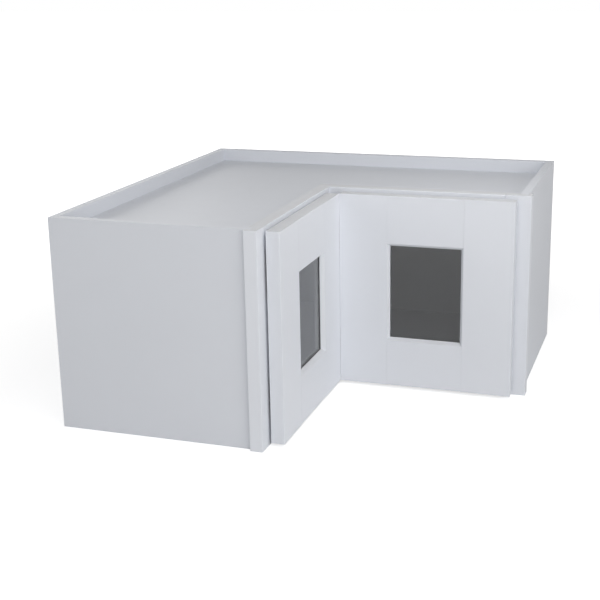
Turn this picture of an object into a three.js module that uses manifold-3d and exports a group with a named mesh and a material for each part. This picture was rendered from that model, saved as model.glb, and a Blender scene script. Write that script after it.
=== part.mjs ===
// Corner wall cabinet with two glazed doors, in millimetres, +Z up.
// It stands in the corner of two walls: one wall is the plane x = -SPAN / 2 and the other is
// y = +SPAN / 2. The origin is the centre of the square footprint, at the cabinet's underside.
// Each wing is as deep as half the span, so the two door openings meet on the Z axis, and the
// face frame's two front planes are x = 0 (left wing) and y = 0 (right wing).
import * as THREE from "three";
import { mergeVertices } from "three/addons/utils/BufferGeometryUtils.js";
import Module from "manifold-3d";

const wasm = await Module();
wasm.setup();

// ---- Driving dimensions ----
const SPAN = 609.6; // length along each wall
const HEIGHT = 304.8;
const PANEL = 12; // plywood of the case
const FRAME = 18; // thickness of the face frame
const STILE_WIDTH = 38;
const RAIL_WIDTH = 38;
const END_INSET = 6.35; // the face frame stands proud of each end panel by this much
const TOP_RECESS = 20; // the top panel lies this far below the rim
const FLOOR_HEIGHT = 28; // top of the bottom panel
const DADO = 6; // depth of the grooves that hold the panels
const HANGING_RAIL = 75; // height of the rails that take the wall screws
const GLUE_GAP = 0.2; // play in every groove and shoulder
const EASED_EDGE = 1; // radius on the front edges of frame and doors
const MEETING_EDGE = 0.15; // radius on the two door edges that meet at the inner corner

const DOOR_THICKNESS = 19;
const DOOR_STANDOFF = 3.9; // air between the face frame and the doors' backs
const DOOR_BOTTOM = 4.7;
const DOOR_HEIGHT = 295;
const LEFT_REVEAL = 23.3; // face frame left showing beside the left door
const RIGHT_REVEAL = 19.7;
const CORNER_GAP = 0.1; // each door's inner edge stays this far from the corner line
const DOOR_STILE = 73.3;
const DOOR_RAIL = 72;

const BEVEL_WIDTH = 4; // the moulded edge round each window
const BEVEL_DEPTH = 5.6;
const LIP_DEPTH = 6.9; // front face to the step that the gasket lies on
const REBATE_WIDTH = 10;
const GLASS_THICKNESS = 3;
const GLASS_DEPTH = 7.7; // front face of the door to the glass
const GLASS_MARGIN = 1.6; // play round the glass, which the gasket's skirt fills
const RUBBER_GAP = 0.05; // the gasket all but touches lip and glass
const BEAD_WIDTH = 9;
const BEAD_ROUND = 3; // radius on the bead's edge beside the glass

const SWING_HINGE_HEIGHTS = [62, 233]; // above the door's lower edge
const CORNER_HINGE_HEIGHTS = [60, 235];

// Plan positions of the wide-opening hinge's three pins, with the doors shut.
const FRAME_PIN = [-0.3, -263.3];
const ELBOW_PIN = [-10.9, -236.5];
const CUP_PIN = [4.1, -259.7];
const PIN_RADIUS = 1.25;
const PIN_PLAY = 0.05;
const LINK_RADIUS = 2.4;
const SWING_LINK_HALF = 4.5; // half height of the inner link, which runs inside the outer one
const SIDE_PLATE = 2;
const LAYER_GAP = 0.3;
const CUP_RADIUS = 17.3;
const CUP_DEPTH = 12;
const CUP_WALL = 1.2;
const CUP_EDGE_DISTANCE = 22.5; // door's outer edge to the middle of the cup
const CUP_ROUND = 1.5; // radius between the cup's floor and wall, drawn as one facet
const FLANGE_THICKNESS = 1;
const FLANGE_HALF_HEIGHT = 31;
const FLANGE_CORNER = 5;
const FLANGE_SCREWS = 24.5; // the cup's middle to each of its screws
const BRACKET_PLATE = 1;
const BRACKET_HALF_HEIGHT = 24;
const BRACKET_MARGIN = 1; // bare stile on both sides of the plate
const BRACKET_SCREWS = 17;
const LUG_SETBACK = 6; // the plate's back edge to the foot of its lugs
const LUG_TURN = 0.3; // angle at which the lugs' front edge meets their round end
const SCREW_HOLE = 2.2; // radius of every screw hole
const HOLE_REACH = 9; // length of the round tool that leaves a screw hole

// Corner hinge between the doors: a butt hinge whose barrel nests behind the corner line.
const KNUCKLE_RADIUS = 4.5;
const CORNER_HINGE_LENGTH = 50;
const LEAF_THICKNESS = 1.5;
const LEAF_REACH = 13.5;
const LEAF_SCREWS = 16; // the hinge's middle to each of its screws
const LEAF_SCREW_REACH = 9; // the pin to the line of screws
const CORNER_PIN_RADIUS = 1.6;

const BUMPER_RADIUS = 4.5;
const BUMPER_SIDE = 9; // the right door's outer edge to the bumpers
const BUMPER_END = 15; // the door's lower and upper edges to the bumpers

const ROUND_STEPS = 32;
const THROUGH = 60; // half length of a cutter that passes right through a hinge

// ---- Values worked out from them ----
const HALF = SPAN / 2;
const END_FACE = HALF - END_INSET; // outer face of either end panel
const END_INNER = END_FACE - PANEL;
const WALL_INNER = HALF - PANEL; // inner face of either back panel
const TOP_Z = [HEIGHT - TOP_RECESS - PANEL, HEIGHT - TOP_RECESS];
const BOTTOM_Z = [FLOOR_HEIGHT - PANEL, FLOOR_HEIGHT];
const OPENING_EDGE = HALF - STILE_WIDTH; // inner edge of either face frame stile
const DOOR_FRONT = DOOR_STANDOFF + DOOR_THICKNESS;
const LEFT_DOOR_WIDTH = HALF - LEFT_REVEAL - DOOR_FRONT - CORNER_GAP;
const RIGHT_DOOR_WIDTH = HALF - RIGHT_REVEAL - DOOR_FRONT - CORNER_GAP;
const SIDE_PLATE_INNER = SWING_LINK_HALF + LAYER_GAP;
const SIDE_PLATE_OUTER = SIDE_PLATE_INNER + SIDE_PLATE;
const CORNER_PIN = [DOOR_FRONT - KNUCKLE_RADIUS, -DOOR_FRONT + KNUCKLE_RADIUS];

// ---- Materials ----
const white = { color: 0xe3e6eb, roughness: 0.42, metalness: 0 };
const paintedCase = () => new THREE.MeshStandardMaterial(white);
const paintedDoor = () => new THREE.MeshStandardMaterial({ ...white, color: 0xeceff3 });
const smokedGlass = () =>
  new THREE.MeshStandardMaterial({
    color: 0x3c3e42,
    roughness: 0.05,
    metalness: 0,
    transparent: true,
    opacity: 0.6,
  });
const blackRubber = () => new THREE.MeshStandardMaterial({ color: 0x2a2b2e, roughness: 0.7 });
const clearRubber = () => new THREE.MeshStandardMaterial({ color: 0xc9ccd0, roughness: 0.35 });
const nickel = () =>
  new THREE.MeshStandardMaterial({ color: 0xb9bbbd, roughness: 0.3, metalness: 1 });
const steel = () =>
  new THREE.MeshStandardMaterial({ color: 0x8e9093, roughness: 0.35, metalness: 1 });

// ---- Solid helpers ----
const asSolid = (geometry) => {
  const bare = geometry.index ? geometry.toNonIndexed() : geometry.clone();
  bare.deleteAttribute("normal");
  bare.deleteAttribute("uv");
  const merged = mergeVertices(bare, 1e-4);
  return new wasm.Manifold(
    new wasm.Mesh({
      numProp: 3,
      vertProperties: merged.attributes.position.array,
      triVerts: new Uint32Array(merged.index.array),
    }),
  );
};

const asGeometry = (solid) => {
  const mesh = solid.getMesh();
  const geometry = new THREE.BufferGeometry();
  geometry.setAttribute("position", new THREE.BufferAttribute(mesh.vertProperties, 3));
  geometry.setIndex(new THREE.BufferAttribute(mesh.triVerts, 1));
  const faceted = geometry.toNonIndexed();
  faceted.computeVertexNormals();
  return faceted;
};

const cut = (geometry, ...tools) => {
  const rest = tools.reduce((solid, tool) => solid.subtract(asSolid(tool)), asSolid(geometry));
  return asGeometry(rest);
};

const join = (...pieces) => asGeometry(pieces.map(asSolid).reduce((sum, next) => sum.add(next)));

const keepInside = (geometry, bounds) => asGeometry(asSolid(geometry).intersect(asSolid(bounds)));

// A plan outline drawn in x and y, standing from z0 to z1.
const prism = (outline, z0, z1) => {
  const shape = outline instanceof THREE.Shape ? outline : new THREE.Shape(outline);
  const solid = new THREE.ExtrudeGeometry(shape, {
    depth: z1 - z0,
    bevelEnabled: false,
    curveSegments: 6,
  });
  return solid.translate(0, 0, z0);
};

const corner = (x, y) => new THREE.Vector2(x, y);

// A flat board between two limits on each axis, grown on all sides for use as a groove cutter.
const board = ([x0, x1], [y0, y1], [z0, z1], grow = 0) =>
  new THREE.BoxGeometry(x1 - x0 + 2 * grow, y1 - y0 + 2 * grow, z1 - z0 + 2 * grow).translate(
    (x0 + x1) / 2,
    (y0 + y1) / 2,
    (z0 + z1) / 2,
  );

const upright = (radius, z0, z1, [x, y] = [0, 0]) =>
  new THREE.CylinderGeometry(radius, radius, z1 - z0, ROUND_STEPS)
    .rotateX(Math.PI / 2)
    .translate(x, y, (z0 + z1) / 2);

// A rounded bar in plan from one pin to the other.
const linkOutline = ([x0, y0], [x1, y1], radius) => {
  const along = Math.atan2(y1 - y0, x1 - x0);
  const shape = new THREE.Shape();
  shape.absarc(x1, y1, radius, along - Math.PI / 2, along + Math.PI / 2);
  shape.absarc(x0, y0, radius, along + Math.PI / 2, along + (3 * Math.PI) / 2);
  return shape;
};

const named = (name, geometry, material) => {
  const mesh = new THREE.Mesh(geometry, material);
  mesh.name = name;
  return mesh;
};

// ---- Case ----
// The top and bottom follow the L of the two wings. Their ends and front edges are tongues in
// the grooves of the end panels and the face frame.
const lPanel = ([z0, z1], grow = 0) => {
  const back = WALL_INNER + grow;
  const end = END_INNER + DADO + grow;
  const front = -FRAME + DADO + grow;
  const outline = [
    corner(-back, -end),
    corner(front, -end),
    corner(front, -front),
    corner(end, -front),
    corner(end, back),
    corner(-back, back),
  ];
  return prism(outline, z0 - grow, z1 + grow);
};

const rearBack = (grow = 0) =>
  board([-HALF, END_INNER + DADO], [WALL_INNER, HALF], [0, HEIGHT], grow);
const leftBack = (grow = 0) =>
  board([-HALF, -WALL_INNER], [-END_INNER - DADO, WALL_INNER - GLUE_GAP], [0, HEIGHT], grow);
const leftEnd = (grow = 0) =>
  board([-HALF, -FRAME + DADO], [-END_FACE, -END_INNER], [0, HEIGHT], grow);
const rightEnd = (grow = 0) =>
  board([END_INNER, END_FACE], [FRAME - DADO, HALF], [0, HEIGHT], grow);

// The two back edges of the L butt against the back panels, with a glue gap.
const caseInside = (z) => board([-WALL_INNER + GLUE_GAP, HALF], [-HALF, WALL_INNER - GLUE_GAP], z);

const buildCase = () => {
  const grooves = [lPanel(TOP_Z, GLUE_GAP), lPanel(BOTTOM_Z, GLUE_GAP)];
  const railZ = [TOP_Z[0] - HANGING_RAIL, TOP_Z[0] - GLUE_GAP];
  const railInner = WALL_INNER - PANEL;
  const railEnd = END_INNER - GLUE_GAP;
  const railBack = WALL_INNER - GLUE_GAP;
  const leftRail = board([-railBack, -railInner], [-railEnd, railInner - GLUE_GAP], railZ);
  const rearRail = board([-railBack, railEnd], [railInner, railBack], railZ);
  const trimmed = (z) => keepInside(lPanel(z), caseInside(z));
  return [
    named("left_end_panel", cut(leftEnd(), ...grooves, leftBack(GLUE_GAP)), paintedCase()),
    named("right_end_panel", cut(rightEnd(), ...grooves, rearBack(GLUE_GAP)), paintedCase()),
    named("left_back_panel", leftBack(), paintedCase()),
    named("rear_back_panel", rearBack(), paintedCase()),
    named("top_panel", trimmed(TOP_Z), paintedCase()),
    named("bottom_panel", trimmed(BOTTOM_Z), paintedCase()),
    named("left_hanging_rail", leftRail, paintedCase()),
    named("rear_hanging_rail", rearRail, paintedCase()),
  ];
};

// ---- Face frame ----
// A frame member's cross-section: width along u, thickness along v with the front face at v = 0,
// and both front edges eased.
const memberSection = (width, thickness) => {
  const shape = new THREE.Shape();
  shape.moveTo(0, thickness);
  shape.lineTo(0, EASED_EDGE);
  shape.absarc(EASED_EDGE, EASED_EDGE, EASED_EDGE, Math.PI, 1.5 * Math.PI);
  shape.absarc(width - EASED_EDGE, EASED_EDGE, EASED_EDGE, 1.5 * Math.PI, 2 * Math.PI);
  shape.lineTo(width, thickness);
  return shape;
};

// Sets an extruded section in place: across is the direction of u, back the direction of v.
const member = (section, length, origin, across, back) => {
  const solid = new THREE.ExtrudeGeometry(section, {
    depth: length,
    bevelEnabled: false,
    curveSegments: 3,
  });
  const along = new THREE.Vector3().crossVectors(across, back);
  const frame = new THREE.Matrix4().makeBasis(across, back, along).setPosition(...origin);
  return solid.applyMatrix4(frame);
};

const X = new THREE.Vector3(1, 0, 0);
const Y = new THREE.Vector3(0, 1, 0);
const Z = new THREE.Vector3(0, 0, 1);
const minus = (axis) => axis.clone().negate();

const buildFaceFrame = () => {
  const stile = memberSection(STILE_WIDTH, FRAME);
  const rail = memberSection(RAIL_WIDTH, FRAME);
  const grooves = [lPanel(TOP_Z, GLUE_GAP), lPanel(BOTTOM_Z, GLUE_GAP)];
  const leftStile = member(stile, HEIGHT, [0, -HALF, 0], Y, minus(X));
  const rightStile = member(stile, HEIGHT, [OPENING_EDGE, 0, 0], X, Y);
  const leftRunStart = -OPENING_EDGE + GLUE_GAP;
  const leftRun = -GLUE_GAP - leftRunStart;
  const rightRun = OPENING_EDGE - GLUE_GAP + FRAME;
  const rails = {
    left_bottom_rail: member(rail, leftRun, [0, -GLUE_GAP, 0], Z, minus(X)),
    left_top_rail: member(rail, leftRun, [0, leftRunStart, HEIGHT], minus(Z), minus(X)),
    right_bottom_rail: member(rail, rightRun, [OPENING_EDGE - GLUE_GAP, 0, 0], Z, Y),
    right_top_rail: member(rail, rightRun, [-FRAME, 0, HEIGHT], minus(Z), Y),
  };
  return [
    named("left_stile", cut(leftStile, ...grooves, leftEnd(GLUE_GAP)), paintedCase()),
    named("right_stile", cut(rightStile, ...grooves, rightEnd(GLUE_GAP)), paintedCase()),
    ...Object.entries(rails).map(([name, solid]) =>
      named(name, cut(solid, ...grooves), paintedCase()),
    ),
  ];
};

// ---- Doors ----
// A door is drawn with its front face on y = 0, its back at y = DOOR_THICKNESS, and its lower
// left corner, as seen from the front, at the origin.
// The section of a door member: a rounded outer edge at u = 0, the bevel that frames the window,
// and behind it the rebate for gasket, glass and bead.
const doorSection = (width, edge = EASED_EDGE) => {
  const sight = width + BEVEL_WIDTH;
  const shape = new THREE.Shape();
  shape.moveTo(0, DOOR_THICKNESS);
  shape.lineTo(0, edge);
  shape.absarc(edge, edge, edge, Math.PI, 1.5 * Math.PI);
  shape.lineTo(width, 0);
  shape.lineTo(sight, BEVEL_DEPTH);
  shape.lineTo(sight, LIP_DEPTH);
  shape.lineTo(sight - REBATE_WIDTH, LIP_DEPTH);
  shape.lineTo(sight - REBATE_WIDTH, DOOR_THICKNESS);
  return shape;
};

const doorSize = (width) => {
  const sightIn = DOOR_STILE + BEVEL_WIDTH;
  const sightUp = DOOR_RAIL + BEVEL_WIDTH;
  return {
    sight: { x: [sightIn, width - sightIn], z: [sightUp, DOOR_HEIGHT - sightUp] },
    rebate: {
      x: [sightIn - REBATE_WIDTH, width - sightIn + REBATE_WIDTH],
      z: [sightUp - REBATE_WIDTH, DOOR_HEIGHT - sightUp + REBATE_WIDTH],
    },
  };
};

const STILE_EDGES = { outer: EASED_EDGE, inner: MEETING_EDGE };

// The stile at the door's left, then the one at its right. sides names them in that order.
const doorStiles = (width, sides) => {
  const [left, right] = sides.map((side) => doorSection(DOOR_STILE, STILE_EDGES[side]));
  return [
    member(left, DOOR_HEIGHT, [0, 0, 0], X, Y),
    member(right, DOOR_HEIGHT, [width, 0, DOOR_HEIGHT], minus(X), Y),
  ];
};

// The rails' ends are coped over the stiles' bevels, and their backs reach into the rebates.
const doorRails = (size, stiles) => {
  const section = doorSection(DOOR_RAIL);
  const [x0, x1] = [size.rebate.x[0] + GLUE_GAP, size.rebate.x[1] - GLUE_GAP];
  const copes = stiles.flatMap((stile, i) => {
    const shift = i === 0 ? GLUE_GAP : -GLUE_GAP;
    const beside = stile.clone().translate(shift, 0, 0);
    return [beside, beside.clone().translate(0, GLUE_GAP, 0)];
  });
  return [
    cut(member(section, x1 - x0, [x1, 0, 0], Z, Y), ...copes),
    cut(member(section, x1 - x0, [x0, 0, DOOR_HEIGHT], minus(Z), Y), ...copes),
  ];
};

// A flat ring in the door's plane, from depth y0 to y1.
const flatRing = (outer, inner, y0, y1) => {
  const ring = board(outer.x, [y0, y1], outer.z);
  return cut(ring, board(inner.x, [y0 - 1, y1 + 1], inner.z));
};

const inset = ({ x, z }, by) => ({ x: [x[0] + by, x[1] - by], z: [z[0] + by, z[1] - by] });

// The gasket lies on the lip and turns back round the edge of the glass.
const glazingGasket = (size) => {
  const outer = inset(size.rebate, GLUE_GAP);
  const glassHole = inset(size.rebate, GLASS_MARGIN - GLUE_GAP);
  const inner = inset(size.sight, -GLUE_GAP);
  const start = LIP_DEPTH + RUBBER_GAP;
  const lip = flatRing(outer, inner, start, GLASS_DEPTH - RUBBER_GAP);
  return join(lip, flatRing(outer, glassHole, start, GLASS_DEPTH + GLASS_THICKNESS));
};

const glassPane = (size) => {
  const pane = inset(size.rebate, GLASS_MARGIN);
  return board(pane.x, [GLASS_DEPTH, GLASS_DEPTH + GLASS_THICKNESS], pane.z);
};

// Four mitred beads hold the glass from behind. Each is drawn along x under the window's middle
// and turned into place.
const beadSection = () => {
  const depth = DOOR_THICKNESS - GLASS_DEPTH - GLASS_THICKNESS - GLUE_GAP;
  const shape = new THREE.Shape();
  shape.moveTo(0, 0);
  shape.lineTo(BEAD_WIDTH, 0);
  shape.lineTo(BEAD_WIDTH, depth - BEAD_ROUND);
  shape.absarc(BEAD_WIDTH - BEAD_ROUND, depth - BEAD_ROUND, BEAD_ROUND, 0, Math.PI / 2);
  shape.lineTo(0, depth);
  return shape;
};

const beadRun = (length) => {
  const half = length / 2;
  const front = GLASS_DEPTH + GLASS_THICKNESS + GLUE_GAP;
  const strip = member(beadSection(), length, [half, front, 0], Z, Y);
  const mitres = prism(
    [
      corner(-half, 0),
      corner(half, 0),
      corner(half - BEAD_WIDTH, -BEAD_WIDTH),
      corner(-half + BEAD_WIDTH, -BEAD_WIDTH),
    ],
    0,
    DOOR_THICKNESS + 1,
  ).rotateX(-Math.PI / 2);
  return keepInside(strip, mitres);
};

const retainerBeads = (prefix, size) => {
  const seat = inset(size.rebate, GLUE_GAP);
  const middle = [(seat.x[0] + seat.x[1]) / 2, (seat.z[0] + seat.z[1]) / 2];
  const across = seat.x[1] - seat.x[0];
  const up = seat.z[1] - seat.z[0];
  return ["lower", "right", "upper", "left"].map((side, turn) => {
    const isUpright = turn % 2 === 1;
    const length = (isUpright ? up : across) - GLUE_GAP;
    const reach = (isUpright ? across : up) / 2;
    const bead = named(`${prefix}_${side}_bead`, beadRun(length), paintedDoor());
    bead.rotation.y = -turn * (Math.PI / 2);
    bead.position.set(middle[0], 0, middle[1]);
    bead.translateZ(-reach);
    return bead;
  });
};

const doorGroup = (prefix, width, sides, bores = []) => {
  const size = doorSize(width);
  const stiles = doorStiles(width, sides);
  const [first, second] = stiles;
  const [bottom, top] = doorRails(size, stiles);
  const group = new THREE.Group();
  group.add(
    named(`${prefix}_${sides[0]}_stile`, bores.length ? cut(first, ...bores) : first, paintedDoor()),
    named(`${prefix}_${sides[1]}_stile`, second, paintedDoor()),
    named(`${prefix}_bottom_rail`, bottom, paintedDoor()),
    named(`${prefix}_top_rail`, top, paintedDoor()),
    named(`${prefix}_gasket`, glazingGasket(size), blackRubber()),
    named(`${prefix}_glass`, glassPane(size), smokedGlass()),
    ...retainerBeads(prefix, size),
  );
  return group;
};

const cupBores = () =>
  SWING_HINGE_HEIGHTS.map((z) => {
    const depth = CUP_DEPTH + GLUE_GAP;
    return new THREE.CylinderGeometry(
      CUP_RADIUS + GLUE_GAP,
      CUP_RADIUS + GLUE_GAP,
      depth + 1,
      ROUND_STEPS,
    ).translate(CUP_EDGE_DISTANCE, DOOR_THICKNESS - depth + (depth + 1) / 2, z);
  });

const buildDoors = () => {
  const left = doorGroup("left_door", LEFT_DOOR_WIDTH, ["outer", "inner"], cupBores());
  left.rotation.z = Math.PI / 2;
  left.position.set(DOOR_FRONT, -HALF + LEFT_REVEAL, DOOR_BOTTOM);
  const right = doorGroup("right_door", RIGHT_DOOR_WIDTH, ["inner", "outer"]);
  right.position.set(DOOR_FRONT + CORNER_GAP, -DOOR_FRONT, DOOR_BOTTOM);
  return [left, right];
};

// ---- Wide-opening hinges ----
// Three pins let the left door swing out past the stile. The bracket on the stile carries the
// swing link, the swing link's far end carries the two side plates of the outer link, and those
// carry the cup in the door. Each hinge is drawn about z = 0, in the cabinet's plan position.
const pinHole = (pin) => upright(PIN_RADIUS + PIN_PLAY, -THROUGH, THROUGH, pin);

// A round tool that leaves a screw hole in a plate that faces along y.
const screwHole = (x, y, z) =>
  new THREE.CylinderGeometry(SCREW_HOLE, SCREW_HOLE, HOLE_REACH, ROUND_STEPS).translate(x, y, z);

const hingeBracket = () => {
  const seatY = -OPENING_EDGE + LAYER_GAP;
  const plateX = [-FRAME + BRACKET_MARGIN, -BRACKET_MARGIN];
  const plateY = [seatY, seatY + BRACKET_PLATE];
  const plate = board(plateX, plateY, [-BRACKET_HALF_HEIGHT, BRACKET_HALF_HEIGHT]);
  const screwHoles = [-BRACKET_SCREWS, BRACKET_SCREWS].map((z) => screwHole(-FRAME / 2, seatY, z));
  const footX = plateX[0] + LUG_SETBACK;
  const lugOutline = new THREE.Shape();
  lugOutline.moveTo(footX, plateY[0]);
  lugOutline.lineTo(plateX[1], plateY[0]);
  lugOutline.absarc(...FRAME_PIN, LINK_RADIUS, LUG_TURN - Math.PI / 2, Math.PI / 2);
  lugOutline.lineTo(footX, plateY[1] + BRACKET_PLATE);
  const lugs = [
    prism(lugOutline, SIDE_PLATE_INNER, SIDE_PLATE_OUTER),
    prism(lugOutline, -SIDE_PLATE_OUTER, -SIDE_PLATE_INNER),
  ];
  const eyeSpace = upright(
    LINK_RADIUS + LAYER_GAP,
    -SIDE_PLATE_INNER,
    SIDE_PLATE_INNER,
    FRAME_PIN,
  );
  return cut(join(plate, ...lugs), eyeSpace, ...screwHoles, pinHole(FRAME_PIN));
};

const swingLink = () => {
  const bar = prism(
    linkOutline(FRAME_PIN, ELBOW_PIN, LINK_RADIUS),
    -SWING_LINK_HALF,
    SWING_LINK_HALF,
  );
  return cut(bar, pinHole(FRAME_PIN), pinHole(ELBOW_PIN));
};

const outerLink = () => {
  const outline = linkOutline(ELBOW_PIN, CUP_PIN, LINK_RADIUS);
  const plates = join(
    prism(outline, SIDE_PLATE_INNER, SIDE_PLATE_OUTER),
    prism(outline, -SIDE_PLATE_OUTER, -SIDE_PLATE_INNER),
    upright(LINK_RADIUS, -SIDE_PLATE_OUTER, SIDE_PLATE_OUTER, CUP_PIN),
  );
  return cut(plates, pinHole(ELBOW_PIN), pinHole(CUP_PIN));
};

// The cup is turned about the y axis of the door, then set in the stile with its mouth to the
// back, so that along the cabinet's x it reaches from the door's back into its thickness.
const hingeCup = () => {
  const rimY = CUP_DEPTH + LAYER_GAP + FLANGE_THICKNESS;
  const bore = CUP_RADIUS - CUP_WALL;
  const innerRound = CUP_ROUND / 2;
  const profile = [
    corner(0, 0),
    corner(CUP_RADIUS - CUP_ROUND, 0),
    corner(CUP_RADIUS, CUP_ROUND),
    corner(CUP_RADIUS, rimY),
    corner(bore, rimY),
    corner(bore, CUP_WALL + innerRound),
    corner(bore - innerRound, CUP_WALL),
    corner(0, CUP_WALL),
  ];
  const shell = new THREE.LatheGeometry(profile, ROUND_STEPS);
  const across = CUP_RADIUS + 1 - FLANGE_CORNER;
  const up = FLANGE_HALF_HEIGHT - FLANGE_CORNER;
  const flangeOutline = new THREE.Shape();
  flangeOutline.absarc(across, up, FLANGE_CORNER, 0, Math.PI / 2);
  flangeOutline.absarc(-across, up, FLANGE_CORNER, Math.PI / 2, Math.PI);
  flangeOutline.absarc(-across, -up, FLANGE_CORNER, Math.PI, 1.5 * Math.PI);
  flangeOutline.absarc(across, -up, FLANGE_CORNER, 1.5 * Math.PI, 2 * Math.PI);
  const mouth = new THREE.Path().absarc(0, 0, CUP_RADIUS - CUP_WALL / 2, 0, 2 * Math.PI);
  const screwHoles = [-FLANGE_SCREWS, FLANGE_SCREWS].map((z) =>
    new THREE.Path().absarc(0, z, SCREW_HOLE, 0, 2 * Math.PI),
  );
  flangeOutline.holes.push(mouth, ...screwHoles);
  const flange = prism(flangeOutline, 0, FLANGE_THICKNESS)
    .rotateX(-Math.PI / 2)
    .translate(0, CUP_DEPTH + LAYER_GAP, 0);
  const seated = join(shell, flange)
    .rotateZ(Math.PI / 2)
    .translate(DOOR_STANDOFF + CUP_DEPTH, -HALF + LEFT_REVEAL + CUP_EDGE_DISTANCE, 0);
  const cheekInner = SIDE_PLATE_OUTER + LAYER_GAP;
  const floorX = DOOR_STANDOFF + CUP_DEPTH - CUP_WALL / 2;
  const cheek = linkOutline(CUP_PIN, [floorX, CUP_PIN[1]], LINK_RADIUS + GLUE_GAP);
  const cheeks = [
    prism(cheek, cheekInner, cheekInner + SIDE_PLATE),
    prism(cheek, -cheekInner - SIDE_PLATE, -cheekInner),
  ];
  const reach = board([0, floorX], [-HALF, 0], [-THROUGH, THROUGH]);
  return cut(join(seated, ...cheeks.map((c) => keepInside(c, reach))), pinHole(CUP_PIN));
};

const hingePin = (at, halfLength) => upright(PIN_RADIUS, -halfLength, halfLength, at);

const buildSwingHinges = () =>
  SWING_HINGE_HEIGHTS.map((height, i) => {
    const which = i === 0 ? "lower" : "upper";
    const hinge = new THREE.Group();
    hinge.add(
      named(`${which}_hinge_bracket`, hingeBracket(), nickel()),
      named(`${which}_hinge_swing_link`, swingLink(), nickel()),
      named(`${which}_hinge_outer_link`, outerLink(), nickel()),
      named(`${which}_hinge_cup`, hingeCup(), nickel()),
      named(`${which}_hinge_frame_pin`, hingePin(FRAME_PIN, SIDE_PLATE_OUTER), steel()),
      named(`${which}_hinge_elbow_pin`, hingePin(ELBOW_PIN, SIDE_PLATE_OUTER), steel()),
      named(
        `${which}_hinge_cup_pin`,
        hingePin(CUP_PIN, SIDE_PLATE_OUTER + LAYER_GAP + SIDE_PLATE),
        steel(),
      ),
    );
    hinge.position.z = DOOR_BOTTOM + height;
    return hinge;
  });

// ---- Corner hinges ----
const knuckle = (z0, z1) => upright(KNUCKLE_RADIUS, z0, z1, CORNER_PIN);
const cornerBore = () => upright(CORNER_PIN_RADIUS + PIN_PLAY, -THROUGH, THROUGH, CORNER_PIN);

// The left leaf lies on the left door's inner edge and carries the outer knuckles; the right
// leaf lies on the right door's inner edge and carries the middle one.
const cornerLeaves = () => {
  const half = CORNER_HINGE_LENGTH / 2;
  const third = CORNER_HINGE_LENGTH / 6;
  const [x, y] = CORNER_PIN;
  const seat = KNUCKLE_RADIUS - LEAF_THICKNESS;
  const leftPlate = board([x - LEAF_REACH, x], [y - KNUCKLE_RADIUS, y - seat], [-half, half]);
  const rightPlate = board([x + seat, x + KNUCKLE_RADIUS], [y, y + LEAF_REACH], [-half, half]);
  const middleSpace = upright(
    KNUCKLE_RADIUS + LAYER_GAP,
    -third - LAYER_GAP / 2,
    third + LAYER_GAP / 2,
    CORNER_PIN,
  );
  const outerSpaces = [
    upright(KNUCKLE_RADIUS + LAYER_GAP, -THROUGH, -third + LAYER_GAP / 2, CORNER_PIN),
    upright(KNUCKLE_RADIUS + LAYER_GAP, third - LAYER_GAP / 2, THROUGH, CORNER_PIN),
  ];
  const screwHeights = [-LEAF_SCREWS, LEAF_SCREWS];
  const leftHoles = screwHeights.map((z) => screwHole(x - LEAF_SCREW_REACH, y - seat, z));
  const rightHoles = screwHeights.map((z) =>
    screwHole(0, 0, z)
      .rotateZ(Math.PI / 2)
      .translate(x + seat, y + LEAF_SCREW_REACH, 0),
  );
  const leftLeaf = join(
    cut(leftPlate, middleSpace),
    knuckle(-half, -third - LAYER_GAP / 2),
    knuckle(third + LAYER_GAP / 2, half),
  );
  const rightLeaf = join(
    cut(rightPlate, ...outerSpaces),
    knuckle(-third + LAYER_GAP / 2, third - LAYER_GAP / 2),
  );
  return [cut(leftLeaf, cornerBore(), ...leftHoles), cut(rightLeaf, cornerBore(), ...rightHoles)];
};

const buildCornerHinges = () =>
  CORNER_HINGE_HEIGHTS.map((height, i) => {
    const which = i === 0 ? "lower" : "upper";
    const half = CORNER_HINGE_LENGTH / 2;
    const [leftLeaf, rightLeaf] = cornerLeaves();
    const hinge = new THREE.Group();
    hinge.add(
      named(`${which}_corner_hinge_left_leaf`, leftLeaf, nickel()),
      named(`${which}_corner_hinge_right_leaf`, rightLeaf, nickel()),
      named(
        `${which}_corner_hinge_pin`,
        upright(CORNER_PIN_RADIUS, -half, half, CORNER_PIN),
        steel(),
      ),
    );
    hinge.position.z = DOOR_BOTTOM + height;
    return hinge;
  });

// ---- Bumpers ----
// Two soft domes on the back of the right door meet the face frame when it shuts.
const buildBumpers = () => {
  const thickness = DOOR_STANDOFF - 2 * LAYER_GAP;
  const profile = [
    corner(0, 0),
    corner(BUMPER_RADIUS, 0),
    corner(BUMPER_RADIUS, thickness * 0.4),
    corner(BUMPER_RADIUS * 0.86, thickness * 0.75),
    corner(BUMPER_RADIUS * 0.5, thickness),
    corner(0, thickness),
  ];
  const x = HALF - RIGHT_REVEAL - BUMPER_SIDE;
  const heights = {
    lower_bumper: DOOR_BOTTOM + BUMPER_END,
    upper_bumper: DOOR_BOTTOM + DOOR_HEIGHT - BUMPER_END,
  };
  return Object.entries(heights).map(([name, z]) => {
    const dome = new THREE.LatheGeometry(profile, 24).translate(x, -DOOR_STANDOFF + LAYER_GAP, z);
    return named(name, dome, clearRubber());
  });
};

const cabinet = new THREE.Group();
cabinet.add(
  ...buildCase(),
  ...buildFaceFrame(),
  ...buildDoors(),
  ...buildSwingHinges(),
  ...buildCornerHinges(),
  ...buildBumpers(),
);

export default cabinet;
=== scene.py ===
"""Looks for a corner wall cabinet with two glazed folding doors.

The cabinet's boards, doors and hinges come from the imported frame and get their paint, glass,
rubber and metal here. The heads of screws and brads are surfaces worked out in this file.
Everything is in metres: +Z is up, the rear wall is at +Y and the left wall at -X.
"""

import math

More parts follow.
